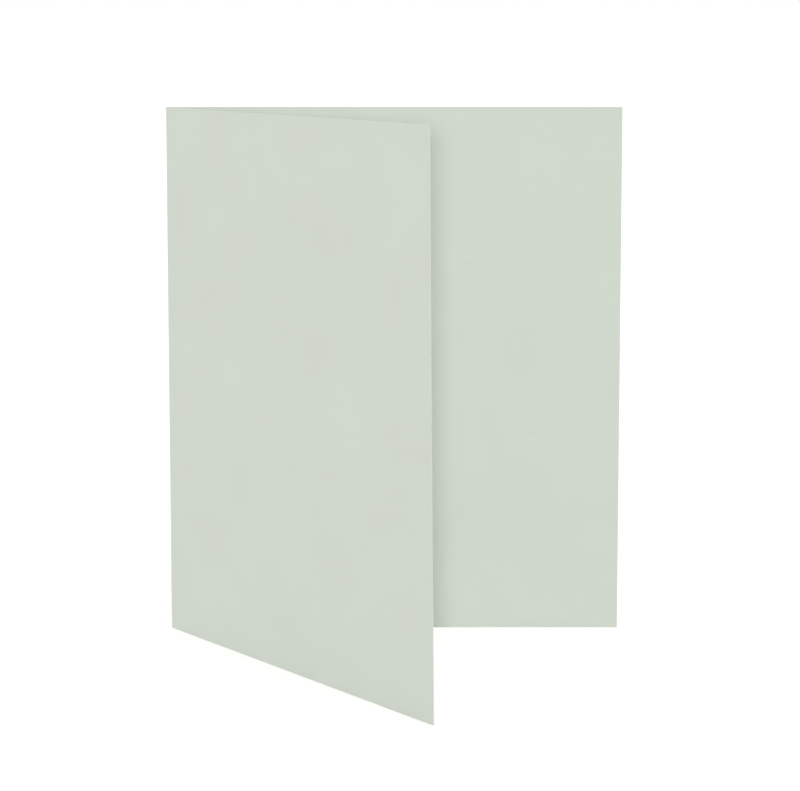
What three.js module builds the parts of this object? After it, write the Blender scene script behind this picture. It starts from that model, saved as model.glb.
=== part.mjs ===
// A blank folded card: one sheet of pale sage card stock, creased once and standing half open
// on its bottom edge. The rear panel is square to the viewer, the crease is its left edge, and
// the cover swings out from the crease towards the viewer.
//
// Millimetres, +Z up along the crease, +X along the rear panel away from the crease, and the
// cover on the -Y side. The origin is at the bottom, in the middle of the card's footprint.

import * as THREE from "three";

// The sheet, measured flat: each panel from the middle of the crease to its cut edge.
const COVER_WIDTH = 120;
const REAR_WIDTH = 120;
const SHEET_HEIGHT = 140;
const BOARD_THICKNESS = 0.3;

// How far the card stands open, between the two inside faces.
const OPENING_ANGLE = THREE.MathUtils.degToRad(55);

// The crease. The board turns about a line just inside the fold, and the ridge that the
// creasing rule raises fills the inside of the turn as a round bead.
const CREASE_INSIDE_RADIUS = 0.15;
const CREASE_BEAD_RISE = 0.13;
const CREASE_SEGMENTS = 8;

const CARD_COLOUR = 0xd0d7cc;
const CARD_ROUGHNESS = 0.9;

// The straight run of a panel, from the end of the turn to the cut edge: its flat width, less
// its half of the turn as measured along the middle of the board.
function straightRun(panelWidth) {
  const middleRadius = CREASE_INSIDE_RADIUS + BOARD_THICKNESS / 2;
  const turn = Math.PI - OPENING_ANGLE;
  return panelWidth - (middleRadius * turn) / 2;
}

// The card seen from above, about the crease's own turning line: the rear panel runs along +X
// and the cover is turned from it by the opening angle.
function cardSection() {
  const insideRadius = CREASE_INSIDE_RADIUS;
  const outsideRadius = insideRadius + BOARD_THICKNESS;
  const beadRadius = insideRadius + CREASE_BEAD_RISE;

  const alongCover = new THREE.Vector2(1, 0).rotateAround(
    new THREE.Vector2(),
    -OPENING_ANGLE,
  );
  const outOfCover = new THREE.Vector2(0, -1).rotateAround(
    new THREE.Vector2(),
    -OPENING_ANGLE,
  );
  const onCover = (distance, offset) =>
    alongCover
      .clone()
      .multiplyScalar(distance)
      .addScaledVector(outOfCover, offset);

  const rearRun = straightRun(REAR_WIDTH);
  const coverRun = straightRun(COVER_WIDTH);
  const coverOutsideTip = onCover(coverRun, outsideRadius);
  const coverInsideTip = onCover(coverRun, insideRadius);

  // Where the bead's round meets each inside face.
  const beadAngle = Math.asin(insideRadius / beadRadius);

  const section = new THREE.Shape();
  section.moveTo(rearRun, insideRadius);
  section.lineTo(rearRun, outsideRadius);
  section.absarc(
    0,
    0,
    outsideRadius,
    Math.PI / 2,
    (3 * Math.PI) / 2 - OPENING_ANGLE,
    false,
  );
  section.lineTo(coverOutsideTip.x, coverOutsideTip.y);
  section.lineTo(coverInsideTip.x, coverInsideTip.y);
  section.absarc(
    0,
    0,
    beadRadius,
    -OPENING_ANGLE - beadAngle,
    beadAngle,
    false,
  );
  section.closePath();
  return section;
}

// The section runs straight up the whole height of the sheet. The guillotine leaves square
// edges, so nothing is rounded there.
function cardSheet() {
  const geometry = new THREE.ExtrudeGeometry(cardSection(), {
    depth: SHEET_HEIGHT,
    curveSegments: CREASE_SEGMENTS,
    bevelEnabled: false,
  });
  geometry.computeBoundingBox();
  const middle = geometry.boundingBox.getCenter(new THREE.Vector3());
  geometry.translate(-middle.x, -middle.y, 0);
  return geometry;
}

const cardStock = new THREE.MeshStandardMaterial({
  color: CARD_COLOUR,
  roughness: CARD_ROUGHNESS,
  metalness: 0,
});

const card = new THREE.Group();
const sheet = new THREE.Mesh(cardSheet(), cardStock);
sheet.name = "folded_sheet";
card.add(sheet);

export default card;
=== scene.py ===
"""A blank folded card of pale sage board, standing half open on its bottom edge.

The card is one sheet, so it is one mesh: a fine grid over the flat sheet, bent round the crease and
closed by the rim that the guillotine cut. Lengths are metres, +Z is up along the crease, +X runs
along the rear panel and the cover is on the -Y side, as in the frame.
"""

import math

import bpy
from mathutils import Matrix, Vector


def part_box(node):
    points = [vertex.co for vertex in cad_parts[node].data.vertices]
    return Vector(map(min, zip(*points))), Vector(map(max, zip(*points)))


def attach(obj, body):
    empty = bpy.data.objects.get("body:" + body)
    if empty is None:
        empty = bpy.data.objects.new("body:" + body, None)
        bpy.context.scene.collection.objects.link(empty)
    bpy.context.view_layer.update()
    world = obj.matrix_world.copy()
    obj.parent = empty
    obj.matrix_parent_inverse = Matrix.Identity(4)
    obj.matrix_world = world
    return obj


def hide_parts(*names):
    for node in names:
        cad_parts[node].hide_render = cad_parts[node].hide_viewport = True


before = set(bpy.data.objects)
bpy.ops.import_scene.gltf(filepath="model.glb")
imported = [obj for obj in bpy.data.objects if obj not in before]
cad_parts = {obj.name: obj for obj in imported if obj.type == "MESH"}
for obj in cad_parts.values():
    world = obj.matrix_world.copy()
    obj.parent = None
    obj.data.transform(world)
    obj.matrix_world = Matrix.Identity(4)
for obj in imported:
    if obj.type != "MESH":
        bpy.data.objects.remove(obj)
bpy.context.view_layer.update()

bl_info = {
    "name": "Folded card",
    "version": (1, 0, 0),
    "blender": (4, 5, 0),
    "location": "3D View > Sidebar > Folded card",
    "description": "Makes a blank folded card standing half open, and a plain studio for it",
    "category": "Add Mesh",
}

SHEET_NODE = "folded_sheet"
CARD_BODY = "root"
MM = 0.001

# Point attributes of the sheet: its place on the flat sheet in millimetres, and how far the
# creasing has stretched it, from 0 on a flat panel to 1 on the fold.
PLACE_ATTRIBUTE = "sheet_place"
STRETCH_ATTRIBUTE = "crease_stretch"
# The third number of the place tells the two faces apart, so that their grain differs.
INSIDE_FACE_PLACE = 50.0

# Spacings of the card stock's patterns, in millimetres.
PULP_CLOUDS = 20.0
PALE_FIBRES = 2.6
DARK_FIBRES = 3.4
FELT_MARKS = 1.8
STRETCHED_PATCHES = 0.5
TOOTH = 0.3
SHEARED_ENDS = 0.15

# Inputs of Blender's mix node when it mixes colours.
MIX_FACTOR = 0
MIX_FIRST = 6
MIX_SECOND = 7


def linear_colour(hex_colour):
    """The linear RGBA of an sRGB colour written as 0xRRGGBB."""
    written = [(hex_colour >> shift & 0xFF) / 255 for shift in (16, 8, 0)]
    linear = [part / 12.92 if part <= 0.04045 else ((part + 0.055) / 1.055) ** 2.4 for part in written]
    return (*linear, 1.0)


def length_property(name, description, default):
    return bpy.props.FloatProperty(name=name, description=description, default=default, min=0.0,
                                   precision=6, unit="LENGTH")


def colour_property(name, description, hex_colour):
    return bpy.props.FloatVectorProperty(name=name, description=description, subtype="COLOR", size=4,
                                         min=0.0, max=1.0, default=linear_colour(hex_colour))


class CardSizes(bpy.types.PropertyGroup):
    """Sizes of the card that its box in the frame doesn't give."""

    board_thickness: length_property(
        "Board thickness", "Thickness of the card stock", 0.3 * MM)
    opening_angle: bpy.props.FloatProperty(
        name="Opening angle", description="Angle between the two inside faces",
        default=math.radians(55), min=math.radians(5), max=math.radians(175), subtype="ANGLE")
    cover_twist: bpy.props.FloatProperty(
        name="Cover twist", description="How much further the cover opens at its top than at its bottom",
        default=math.radians(0.62), subtype="ANGLE")
    crease_inside_radius: length_property(
        "Crease inside radius", "Distance from the turning line to each inside face", 0.15 * MM)
    bead_rise: length_property(
        "Bead rise", "How far the creased ridge stands further from the turning line", 0.13 * MM)
    bead_fillet: length_property(
        "Bead fillet", "Radius where the ridge runs out into the inside faces", 0.12 * MM)
    cut_rounding: length_property(
        "Cut rounding", "Radius that the guillotine leaves on the cut edges", 0.03 * MM)
    panel_bow: length_property(
        "Panel bow", "How far the panels bow out of flat", 0.12 * MM)


class CardFinish(bpy.types.PropertyGroup):
    """Colours and grain of the card stock."""

    sage: colour_property("Sage", "Colour of the dyed board", 0xD1D7CD)
    sage_cloud: colour_property("Sage cloud", "Colour of its faint clouds", 0xD2D9CF)
    pale_fibre: colour_property("Pale fibre", "Colour of the undyed fibres", 0xDCE1D8)
    # This colour is also the painted shade between the fibre ends on the cut edges.
    dark_fibre_and_edge_shade: colour_property("Dark fibre", "Colour of the deeper dyed fibres", 0xC3CBBF)
    inner_fibre: colour_property("Inner fibre", "Colour of the board where the fold stretched it", 0xD6DCD2)
    tooth_depth: length_property("Tooth depth", "Depth of the fine tooth on the faces", 0.01 * MM)


class StudioSettings(bpy.types.PropertyGroup):
    """Camera, floor and light."""

    camera_place: bpy.props.FloatVectorProperty(
        name="Camera place", description="Where the lens is", size=3, subtype="TRANSLATION",
        unit="LENGTH", default=(0.0015, -0.6536, 0.1683))
    camera_tilt: bpy.props.FloatProperty(
        name="Camera tilt", description="How far the camera looks down", subtype="ANGLE",
        default=math.radians(7.47))
    camera_lens: bpy.props.FloatProperty(
        name="Lens", description="Focal length in millimetres on a 36 mm frame", default=119.8)
    camera_shift: bpy.props.FloatProperty(
        name="Vertical shift", description="Lens shift, as a share of the frame's width", default=-0.06)
    floor_colour: colour_property("Floor", "Colour of the floor", 0xDCDCDA)
    floor_fill: bpy.props.FloatProperty(
        name="Floor fill", description="Light that the floor adds to its own look, 1 being white",
        default=0.5, min=0.0)
    ambient_level: bpy.props.FloatProperty(
        name="Ambient level", description="Light from all round, 1 being white", default=0.45, min=0.0)
    lens_lamp_level: bpy.props.FloatProperty(
        name="Lens lamp", description="Level of the small lamp beside the lens", default=0.315, min=0.0)
    cover_lamp_level: bpy.props.FloatProperty(
        name="Cover lamp", description="Level of the lamp at the left, on the cover", default=0.3, min=0.0)
    panel_lamp_level: bpy.props.FloatProperty(
        name="Panel lamp", description="Level of the high lamp at the right, on the rear panel",
        default=0.22, min=0.0)
    mouth_lamp_level: bpy.props.FloatProperty(
        name="Mouth lamp", description="Level of the lamp that shines into the card from the right",
        default=0.35, min=0.0)
    back_lamp_level: bpy.props.FloatProperty(
        name="Back lamp", description="Level of the lamp behind the card", default=0.5, min=0.0)


def add_node(tree, kind, inputs=None, output=None, **settings):
    """Adds one node and gives its output, which is the first in use unless another is named. An input
    is a value, or the output of another node that feeds it."""
    node = tree.nodes.new(kind)
    for name, value in settings.items():
        setattr(node, name, value)
    for slot, value in (inputs or {}).items():
        if isinstance(value, bpy.types.NodeSocket):
            tree.links.new(value, node.inputs[slot])
        else:
            node.inputs[slot].default_value = value
    in_use = (socket for socket in node.outputs if socket.enabled)
    return node.outputs[output] if output else next(in_use, None)


def start_material(name):
    """A new material with an empty node tree."""
    material = bpy.data.materials.new(name)
    material.use_nodes = True
    material.node_tree.nodes.clear()
    return material, material.node_tree


def fibre_flecks(tree, place, spacing_mm, offset_mm):
    """Short curved fibres: the contour lines of a noise, where a second noise is high. They are drawn
    0.08 mm wide, twice their real width, to show at all."""
    half_width_mm = 0.04
    length_mm = 0.6 * spacing_mm
    moved = add_node(tree, "ShaderNodeVectorMath", {0: place, 1: (offset_mm, -offset_mm, offset_mm)},
                     operation="ADD")
    threads = add_node(tree, "ShaderNodeTexNoise", {"Vector": moved, "Scale": 1 / spacing_mm,
                                                    "Detail": 0.0, "Distortion": 0.9})
    aside = add_node(tree, "ShaderNodeMath", {0: threads, 1: 0.5}, operation="SUBTRACT")
    from_thread = add_node(tree, "ShaderNodeMath", {0: aside}, operation="ABSOLUTE")
    # The noise changes by about half its range over one spacing.
    half_width_in_noise = 0.5 * half_width_mm / spacing_mm
    on_thread = add_node(tree, "ShaderNodeMapRange", {"Value": from_thread, "From Min": 0.0,
                                                      "From Max": half_width_in_noise, "To Min": 1.0,
                                                      "To Max": 0.0})
    breaks = add_node(tree, "ShaderNodeTexNoise", {"Vector": moved, "Scale": 1 / length_mm,
                                                   "Detail": 0.0})
    unbroken = add_node(tree, "ShaderNodeMapRange", {"Value": breaks, "From Min": 0.52, "From Max": 0.6})
    return add_node(tree, "ShaderNodeMath", {0: on_thread, 1: unbroken}, operation="MULTIPLY")


def card_face_material(finish):
    """Uncoated card stock, dyed in the pulp and calendered.

    The dye is in the fibres, so the colour is even, with clouds only where the pulp lay thicker and
    a few fibres that took more or less dye. Calendering has pressed the tooth nearly flat, which
    leaves a dead matte face with no highlight.
    """
    material, tree = start_material("uncoated_card_stock_calendered")
    place = add_node(tree, "ShaderNodeAttribute", output="Vector", attribute_name=PLACE_ATTRIBUTE)
    stretch = add_node(tree, "ShaderNodeAttribute", output="Fac", attribute_name=STRETCH_ATTRIBUTE)

    pulp = add_node(tree, "ShaderNodeTexNoise", {"Vector": place, "Scale": 1 / PULP_CLOUDS,
                                                 "Detail": 2.0})
    clouds = add_node(tree, "ShaderNodeMapRange", {"Value": pulp, "From Min": 0.35, "From Max": 0.65})
    colour = add_node(tree, "ShaderNodeMix", {MIX_FACTOR: clouds, MIX_FIRST: tuple(finish.sage),
                                              MIX_SECOND: tuple(finish.sage_cloud)}, data_type="RGBA")

    # Fibres 1 to 3 mm long. The offset keeps the two kinds apart.
    fibre_opacity = 0.5
    pale = fibre_flecks(tree, place, PALE_FIBRES, 0.0)
    dark = fibre_flecks(tree, place, DARK_FIBRES, 71.0)
    for fibres, fibre_colour in ((pale, finish.pale_fibre), (dark, finish.dark_fibre_and_edge_shade)):
        faint = add_node(tree, "ShaderNodeMath", {0: fibres, 1: fibre_opacity},
                         operation="MULTIPLY")
        colour = add_node(tree, "ShaderNodeMix", {MIX_FACTOR: faint, MIX_FIRST: colour,
                                                  MIX_SECOND: tuple(fibre_colour)}, data_type="RGBA")

    # On the fold the skin of the board is stretched, and its paler inner fibres show in patches.
    skin = add_node(tree, "ShaderNodeTexNoise", {"Vector": place, "Scale": 1 / STRETCHED_PATCHES,
                                                 "Detail": 2.0})
    patches = add_node(tree, "ShaderNodeMapRange", {"Value": skin, "From Min": 0.3, "From Max": 0.7})
    stretched = add_node(tree, "ShaderNodeMath", {0: stretch, 1: patches}, operation="MULTIPLY")
    colour = add_node(tree, "ShaderNodeMix", {MIX_FACTOR: stretched, MIX_FIRST: colour,
                                              MIX_SECOND: tuple(finish.inner_fibre)}, data_type="RGBA")

    # The tooth, over the broader marks of the papermaker's felt, with the pale fibres on top.
    height = add_node(tree, "ShaderNodeTexNoise", {"Vector": place, "Scale": 1 / TOOTH, "Detail": 2.0,
                                                   "Roughness": 0.6})
    felt = add_node(tree, "ShaderNodeTexNoise", {"Vector": place, "Scale": 1 / FELT_MARKS,
                                                 "Detail": 1.0})
    for relief, share_of_tooth in ((felt, 0.45), (pale, 0.4)):
        height = add_node(tree, "ShaderNodeMath", {0: relief, 1: share_of_tooth, 2: height},
                          operation="MULTIPLY_ADD")
    bump = add_node(tree, "ShaderNodeBump", {"Height": height, "Strength": 1.0,
                                             "Distance": finish.tooth_depth})

    surface = add_node(tree, "ShaderNodeBsdfPrincipled", {"Base Color": colour, "Roughness": 0.9,
                                                          "IOR": 1.47, "Normal": bump})
    add_node(tree, "ShaderNodeOutputMaterial", {"Surface": surface})
    return material


def cut_edge_material(finish):
    """The same board where the guillotine cut it.

    The blade shears the fibres off square, so the edge is rougher than the faces. The shade that falls
    between the open fibre ends is painted into its colour as fine dark speckles, a touch deeper than the
    faces.
    """
    material, tree = start_material("uncoated_card_stock_guillotined")
    place = add_node(tree, "ShaderNodeAttribute", output="Vector", attribute_name=PLACE_ATTRIBUTE)

    ends = add_node(tree, "ShaderNodeTexNoise", {"Vector": place, "Scale": 1 / SHEARED_ENDS,
                                                 "Detail": 2.0, "Roughness": 0.6})
    painted_shade_between_ends = add_node(tree, "ShaderNodeMapRange", {"Value": ends, "From Min": 0.3, "From Max": 0.7})
    # Painted shade: where the sheared ends dip, the colour goes to the dark fibre colour, for the shade
    # between them.
    colour = add_node(tree, "ShaderNodeMix", {MIX_FACTOR: painted_shade_between_ends, MIX_FIRST: tuple(finish.dark_fibre_and_edge_shade),
                                              MIX_SECOND: tuple(finish.sage)}, data_type="RGBA")
    # The sheared ends stand higher than the tooth on the faces, which is pressed.
    end_depth = 1.5 * finish.tooth_depth
    bump = add_node(tree, "ShaderNodeBump", {"Height": ends, "Strength": 1.0, "Distance": end_depth})

    surface = add_node(tree, "ShaderNodeBsdfPrincipled", {"Base Color": colour, "Roughness": 0.95,
                                                          "IOR": 1.47, "Normal": bump})
    add_node(tree, "ShaderNodeOutputMaterial", {"Surface": surface})
    return material


def close_at_ends(share):
    """Spaces steps from 0 to 1 closely at both ends, where a panel meets its cut edge and the fold."""
    return (1 - math.cos(math.pi * share)) / 2


def mirrored(point, angle):
    """The same place on the other panel: mirrored in the line that halves the opening angle."""
    return Vector((
        point.x * math.cos(angle) - point.y * math.sin(angle),
        -point.x * math.sin(angle) - point.y * math.cos(angle),
    ))


class FoldedSheet:
    """The sheet's shape: a point for each place along it, up it and through its thickness.

    Along the sheet, columns run from the rear panel's cut edge over the fold to the cover's cut
    edge. Up it, rows run from the bottom edge to the top. Through it, depth is 0 on the inside
    face and 1 on the outside face. The section is drawn about the line that the fold turns on.
    """

    PANEL_COLUMNS = 48
    FOLD_COLUMNS = 18
    ROWS = 56
    ROUNDING_STEPS = 3
    # How far from the middle of the fold the creasing still stretches the faces.
    STRETCH_REACH = 0.5 * MM
    # Where each panel's free edge bows the most, as a share of its height.
    REAR_BOW_PLACE = 0.3
    COVER_BOW_PLACE = 0.65

    def __init__(self, sizes):
        low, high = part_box(SHEET_NODE)
        self.thickness = sizes.board_thickness
        self.inside = sizes.crease_inside_radius
        self.outside = self.inside + self.thickness
        self.bead = self.inside + sizes.bead_rise
        self.fillet = sizes.bead_fillet
        self.rounding = sizes.cut_rounding
        self.bow = sizes.panel_bow
        self.opening = sizes.opening_angle
        self.twist = sizes.cover_twist
        self.bottom = low.z
        self.height = high.z - low.z
        # The turning line, and how far each panel runs from it, follow from the card's box.
        self.turning_x = low.x + self.outside
        self.turning_y = high.y - self.outside
        self.rear_run = high.x - self.turning_x
        cover_reach = self.turning_y - low.y
        self.cover_run = (cover_reach - self.outside * math.cos(self.opening)) / math.sin(self.opening)
        # The fillet beside the bead: its centre, and the angle at which the two touch.
        self.fillet_across = self.inside - self.fillet
        self.fillet_along = math.sqrt((self.bead + self.fillet) ** 2 - self.fillet_across ** 2)
        self.touch = math.atan2(self.fillet_across, self.fillet_along)
        self.last_column = 2 * self.PANEL_COLUMNS + self.FOLD_COLUMNS

    def panel_point(self, run, share, outside):
        """On a panel that runs straight along X, from its cut edge at share 0 to the fold at 1."""
        end = 0.0 if outside else self.fillet_along
        return Vector((run + (end - run) * share, self.outside if outside else self.inside))

    def outside_fold_point(self, share, angle):
        """On the round outside of the fold, from the rear panel at share 0 to the cover at 1."""
        turn = math.pi / 2 + (math.pi - angle) * share
        return Vector((self.outside * math.cos(turn), self.outside * math.sin(turn)))

    def inside_fold_point(self, share, angle):
        """On the inside of the fold: a fillet, the bead that the creasing rule raised, a fillet."""
        fillet_length = self.fillet * (math.pi / 2 + self.touch)
        bead_length = self.bead * (angle + 2 * self.touch)
        if share > 0.5:
            return mirrored(self.inside_fold_point(1 - share, angle), angle)
        way = share * (2 * fillet_length + bead_length)
        if way < fillet_length:
            turn = math.pi / 2 + way / self.fillet
            centre = Vector((self.fillet_along, self.fillet_across))
            return centre + Vector((self.fillet * math.cos(turn), self.fillet * math.sin(turn)))
        turn = self.touch - (way - fillet_length) / self.bead
        return Vector((self.bead * math.cos(turn), self.bead * math.sin(turn)))

    def section_point(self, column, angle, inset, outside):
        """A point of the section, on the outside or the inside face."""
        from_cover = self.last_column - column
        if column < self.PANEL_COLUMNS:
            share = close_at_ends(column / self.PANEL_COLUMNS)
            return self.panel_point(self.rear_run - inset, share, outside)
        if from_cover < self.PANEL_COLUMNS:
            share = close_at_ends(from_cover / self.PANEL_COLUMNS)
            return mirrored(self.panel_point(self.cover_run - inset, share, outside), angle)
        share = (column - self.PANEL_COLUMNS) / self.FOLD_COLUMNS
        return self.outside_fold_point(share, angle) if outside else self.inside_fold_point(share, angle)

    def along_sheet(self, column):
        """The distance from the middle of the fold, measured along the flat sheet, and the share
        that it is of the panel. The cover's side is below zero."""
        half_turn = (self.inside + self.thickness / 2) * (math.pi - self.opening) / 2
        from_cover = self.last_column - column
        if column < self.PANEL_COLUMNS:
            share = 1 - close_at_ends(column / self.PANEL_COLUMNS)
            return half_turn + self.rear_run * share, share
        if from_cover < self.PANEL_COLUMNS:
            share = 1 - close_at_ends(from_cover / self.PANEL_COLUMNS)
            return -half_turn - self.cover_run * share, -share
        return half_turn * (1 - 2 * (column - self.PANEL_COLUMNS) / self.FOLD_COLUMNS), 0.0

    def bow_at(self, panel_share, up):
        """How far a panel stands out of flat: nothing at the fold, the most along the free edge."""
        place = self.REAR_BOW_PLACE if panel_share > 0 else self.COVER_BOW_PLACE
        return self.bow * panel_share ** 2 * math.cos(math.pi * (up / self.height - place))

    def point(self, column, row, inset, depth):
        """A point of the sheet in the frame."""
        up = inset + (self.height - 2 * inset) * close_at_ends(row / self.ROWS)
        angle = self.opening + self.twist * (up / self.height - 0.5)
        inner = self.section_point(column, angle, inset, outside=False)
        outer = self.section_point(column, angle, inset, outside=True)
        _, panel_share = self.along_sheet(column)
        out = (outer - inner).normalized() * self.bow_at(panel_share, up)
        section = inner.lerp(outer, depth) + out
        return Vector((self.turning_x + section.x, self.turning_y + section.y, self.bottom + up))

    def place(self, column, row, depth):
        """The same point's place on the flat sheet, in millimetres."""
        along, _ = self.along_sheet(column)
        up = self.height * close_at_ends(row / self.ROWS)
        return along / MM, up / MM, INSIDE_FACE_PLACE * (1 - depth)

    def stretch(self, column):
        """How far the creasing has stretched the faces, from 0 to 1."""
        along, _ = self.along_sheet(column)
        return math.exp(-((along / self.STRETCH_REACH) ** 2))

    def rings(self):
        """The inset and depth of each ring of points round the rim, from the outside face to the
        inside one: a rounding, the straight cut, a rounding."""
        roundings = []
        for step in range(self.ROUNDING_STEPS + 1):
            turn = math.pi / 2 * step / self.ROUNDING_STEPS
            inset = self.rounding * (1 - math.sin(turn))
            roundings.append((inset, self.rounding * (1 - math.cos(turn)) / self.thickness))
        outer = [(inset, 1 - depth) for inset, depth in roundings]
        return outer + roundings[::-1]

    def border(self):
        """The column and row of each point round the sheet's edge, in order."""
        last_row = self.ROWS
        last_column = self.last_column
        bottom = [(column, 0) for column in range(last_column)]
        cover_edge = [(last_column, row) for row in range(last_row)]
        top = [(column, last_row) for column in range(last_column, 0, -1)]
        rear_edge = [(0, row) for row in range(last_row, 0, -1)]
        return bottom + cover_edge + top + rear_edge


def sheet_mesh(shape):
    """The closed mesh of the sheet: two faces, and the rim between them in material slot 1."""
    rings = shape.rings()
    last_ring = len(rings) - 1
    border = shape.border()
    everywhere = [
        (column, row) for row in range(shape.ROWS + 1) for column in range(shape.last_column + 1)
    ]
    corners = []
    for ring in range(len(rings)):
        ring_places = everywhere if ring in (0, last_ring) else border
        corners += [(*place, ring) for place in ring_places]
    number = {corner: index for index, corner in enumerate(corners)}

    quads = []
    for row in range(shape.ROWS):
        for column in range(shape.last_column):
            square = ((column, row), (column + 1, row), (column + 1, row + 1), (column, row + 1))
            quads.append([number[(*place, 0)] for place in square])
            quads.append([number[(*place, last_ring)] for place in reversed(square)])
    face_quads = len(quads)
    for ring in range(last_ring):
        for here, following in zip(border, border[1:] + border[:1]):
            quads.append([
                number[(*following, ring)], number[(*here, ring)],
                number[(*here, ring + 1)], number[(*following, ring + 1)],
            ])

    mesh = bpy.data.meshes.new("folded_card")
    points = [shape.point(column, row, *rings[ring]) for column, row, ring in corners]
    mesh.from_pydata(points, [], quads)
    mesh.polygons.foreach_set("use_smooth", [True] * len(quads))
    mesh.polygons.foreach_set("material_index", [int(quad >= face_quads) for quad in range(len(quads))])

    places = [shape.place(column, row, rings[ring][1]) for column, row, ring in corners]
    place = mesh.attributes.new(PLACE_ATTRIBUTE, "FLOAT_VECTOR", "POINT")
    place.data.foreach_set("vector", [part for each in places for part in each])
    stretch = mesh.attributes.new(STRETCH_ATTRIBUTE, "FLOAT", "POINT")
    stretch.data.foreach_set("value", [shape.stretch(column) for column, _, _ in corners])
    mesh.update()
    if mesh.validate():
        raise RuntimeError("the sheet's mesh has faces that aren't valid")
    return mesh


class FOLDEDCARD_OT_card(bpy.types.Operator):
    """Make the folded card as one sheet, with its card stock"""

    bl_idname = "folded_card.make_card"
    bl_label = "Make the card"

    def execute(self, context):
        sizes = context.scene.folded_card_sizes
        finish = context.scene.folded_card_finish
        card = bpy.data.objects.new("folded_card", sheet_mesh(FoldedSheet(sizes)))
        context.scene.collection.objects.link(card)
        card.data.materials.append(card_face_material(finish))
        card.data.materials.append(cut_edge_material(finish))
        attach(card, CARD_BODY)
        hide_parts(SHEET_NODE)
        return {"FINISHED"}


def seen_directly(tree):
    """1 for what the lens sees, straight or in gloss or glass, and 0 for the light on the object."""
    straight, glossy, through = [
        add_node(tree, "ShaderNodeLightPath", output=kind)
        for kind in ("Is Camera Ray", "Is Glossy Ray", "Is Transmission Ray")
    ]
    mirror_or_glass = add_node(tree, "ShaderNodeMath", {0: glossy, 1: through}, operation="MAXIMUM")
    return add_node(tree, "ShaderNodeMath", {0: straight, 1: mirror_or_glass}, operation="MAXIMUM")


def floor_material(studio):
    """Matt painted board: pale, with a little light of its own where it is looked at, so that it
    turns white and the card's shadow stays on it."""
    material, tree = start_material("matt_painted_board")
    paint = add_node(tree, "ShaderNodeBsdfDiffuse", {"Color": tuple(studio.floor_colour)})
    fill = add_node(tree, "ShaderNodeMath", {0: seen_directly(tree), 1: studio.floor_fill},
                    operation="MULTIPLY")
    glow = add_node(tree, "ShaderNodeEmission", {"Color": (1.0, 1.0, 1.0, 1.0), "Strength": fill})
    both = add_node(tree, "ShaderNodeAddShader", {0: paint, 1: glow})
    add_node(tree, "ShaderNodeOutputMaterial", {"Surface": both})
    return material


def add_floor(scene, studio):
    """A floor that runs out of sight on every side."""
    reach = 40.0
    mesh = bpy.data.meshes.new("floor")
    corners = [(-reach, -reach, 0.0), (reach, -reach, 0.0), (reach, reach, 0.0), (-reach, reach, 0.0)]
    mesh.from_pydata(corners, [], [(0, 1, 2, 3)])
    floor = bpy.data.objects.new("floor", mesh)
    # A hair under the card, so that the two surfaces don't share a plane.
    gap = 0.01 * MM
    floor.location.z = -gap
    mesh.materials.append(floor_material(studio))
    scene.collection.objects.link(floor)


def light_world(scene, studio):
    """Even light from all round, and white where it is looked at."""
    world = bpy.data.worlds.new("studio")
    scene.world = world
    world.use_nodes = True
    tree = world.node_tree
    tree.nodes.clear()
    strength = add_node(tree, "ShaderNodeMapRange", {"Value": seen_directly(tree),
                                                     "To Min": studio.ambient_level, "To Max": 1.0})
    background = add_node(tree, "ShaderNodeBackground", {"Color": (1.0, 1.0, 1.0, 1.0),
                                                         "Strength": strength})
    add_node(tree, "ShaderNodeOutputWorld", {"Surface": background})


def add_lamp(scene, name, level, azimuth, elevation, spread):
    """A far, soft lamp. Azimuth is in degrees from the camera's side, to the right; spread is how
    wide the lamp looks from the card; and at level 1 it lights a white face to white."""
    lamp = bpy.data.lights.new(name, "SUN")
    lamp.energy = level * math.pi
    lamp.angle = math.radians(spread)
    placed = bpy.data.objects.new(name, lamp)
    turn, rise = math.radians(azimuth), math.radians(elevation)
    towards = Vector((math.sin(turn) * math.cos(rise), -math.cos(turn) * math.cos(rise), math.sin(rise)))
    placed.rotation_euler = towards.to_track_quat("Z", "Y").to_euler()
    placed.location = towards
    scene.collection.objects.link(placed)


def add_camera(scene, studio):
    """The camera, a little above the card and looking slightly down."""
    lens = bpy.data.cameras.new("camera")
    lens.sensor_width = 36.0
    lens.lens = studio.camera_lens
    lens.shift_y = studio.camera_shift
    lens.clip_start = 0.01
    camera = bpy.data.objects.new("camera", lens)
    camera.location = studio.camera_place
    camera.rotation_euler = (math.pi / 2 - studio.camera_tilt, 0.0, 0.0)
    scene.collection.objects.link(camera)
    scene.camera = camera


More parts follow.
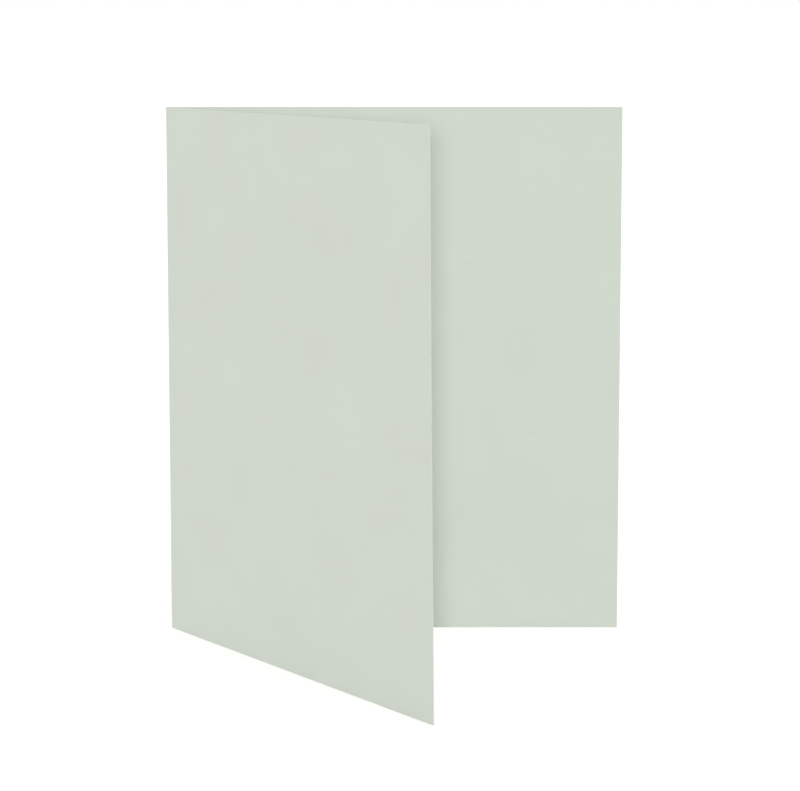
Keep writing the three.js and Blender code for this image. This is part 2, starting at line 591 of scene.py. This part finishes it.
class FOLDEDCARD_OT_studio(bpy.types.Operator):
    """Make the floor, the soft light and the camera"""

    bl_idname = "folded_card.make_studio"
    bl_label = "Make the studio"

    def execute(self, context):
        scene = context.scene
        studio = scene.folded_card_studio
        scene.view_settings.view_transform = "Standard"
        add_floor(scene, studio)
        light_world(scene, studio)
        # Beside the lens: it makes the narrow soft shadow that the cover throws on the rear panel.
        add_lamp(scene, "lens_lamp", studio.lens_lamp_level, azimuth=-1.35, elevation=3.7, spread=5.8)
        # Square to the side, so that it reaches the cover and not the inside of the rear panel.
        add_lamp(scene, "cover_lamp", studio.cover_lamp_level, azimuth=-92.0, elevation=12.0, spread=20.0)
        # Past the cover's free edge, on the rear panel.
        add_lamp(scene, "panel_lamp", studio.panel_lamp_level, azimuth=35.0, elevation=40.0, spread=30.0)
        # Along the rear panel, on the inside of the cover.
        add_lamp(scene, "mouth_lamp", studio.mouth_lamp_level, azimuth=94.0, elevation=15.0, spread=20.0)
        # Behind the card, on the outside of the rear panel.
        add_lamp(scene, "back_lamp", studio.back_lamp_level, azimuth=-160.0, elevation=14.0, spread=30.0)
        add_camera(scene, studio)
        return {"FINISHED"}


class FOLDEDCARD_PT_sidebar(bpy.types.Panel):
    """The card's pieces and settings, in the sidebar"""

    bl_idname = "FOLDEDCARD_PT_sidebar"
    bl_label = "Folded card"
    bl_space_type = "VIEW_3D"
    bl_region_type = "UI"
    bl_category = "Folded card"

    def draw(self, context):
        layout = self.layout
        for heading, settings, operator in (
            ("Sizes", context.scene.folded_card_sizes, FOLDEDCARD_OT_card),
            ("Finish", context.scene.folded_card_finish, None),
            ("Studio", context.scene.folded_card_studio, FOLDEDCARD_OT_studio),
        ):
            box = layout.box()
            box.label(text=heading)
            for name in settings.__annotations__:
                box.prop(settings, name)
            if operator:
                box.operator(operator.bl_idname)


CLASSES = (
    CardSizes,
    CardFinish,
    StudioSettings,
    FOLDEDCARD_OT_card,
    FOLDEDCARD_OT_studio,
    FOLDEDCARD_PT_sidebar,
)


def register():
    for made in CLASSES:
        bpy.utils.register_class(made)
    bpy.types.Scene.folded_card_sizes = bpy.props.PointerProperty(type=CardSizes)
    bpy.types.Scene.folded_card_finish = bpy.props.PointerProperty(type=CardFinish)
    bpy.types.Scene.folded_card_studio = bpy.props.PointerProperty(type=StudioSettings)


def unregister():
    del bpy.types.Scene.folded_card_studio
    del bpy.types.Scene.folded_card_finish
    del bpy.types.Scene.folded_card_sizes
    for made in reversed(CLASSES):
        bpy.utils.unregister_class(made)


def main():
    register()
    bpy.ops.folded_card.make_card()
    bpy.ops.folded_card.make_studio()


if __name__ == "__main__":
    main()
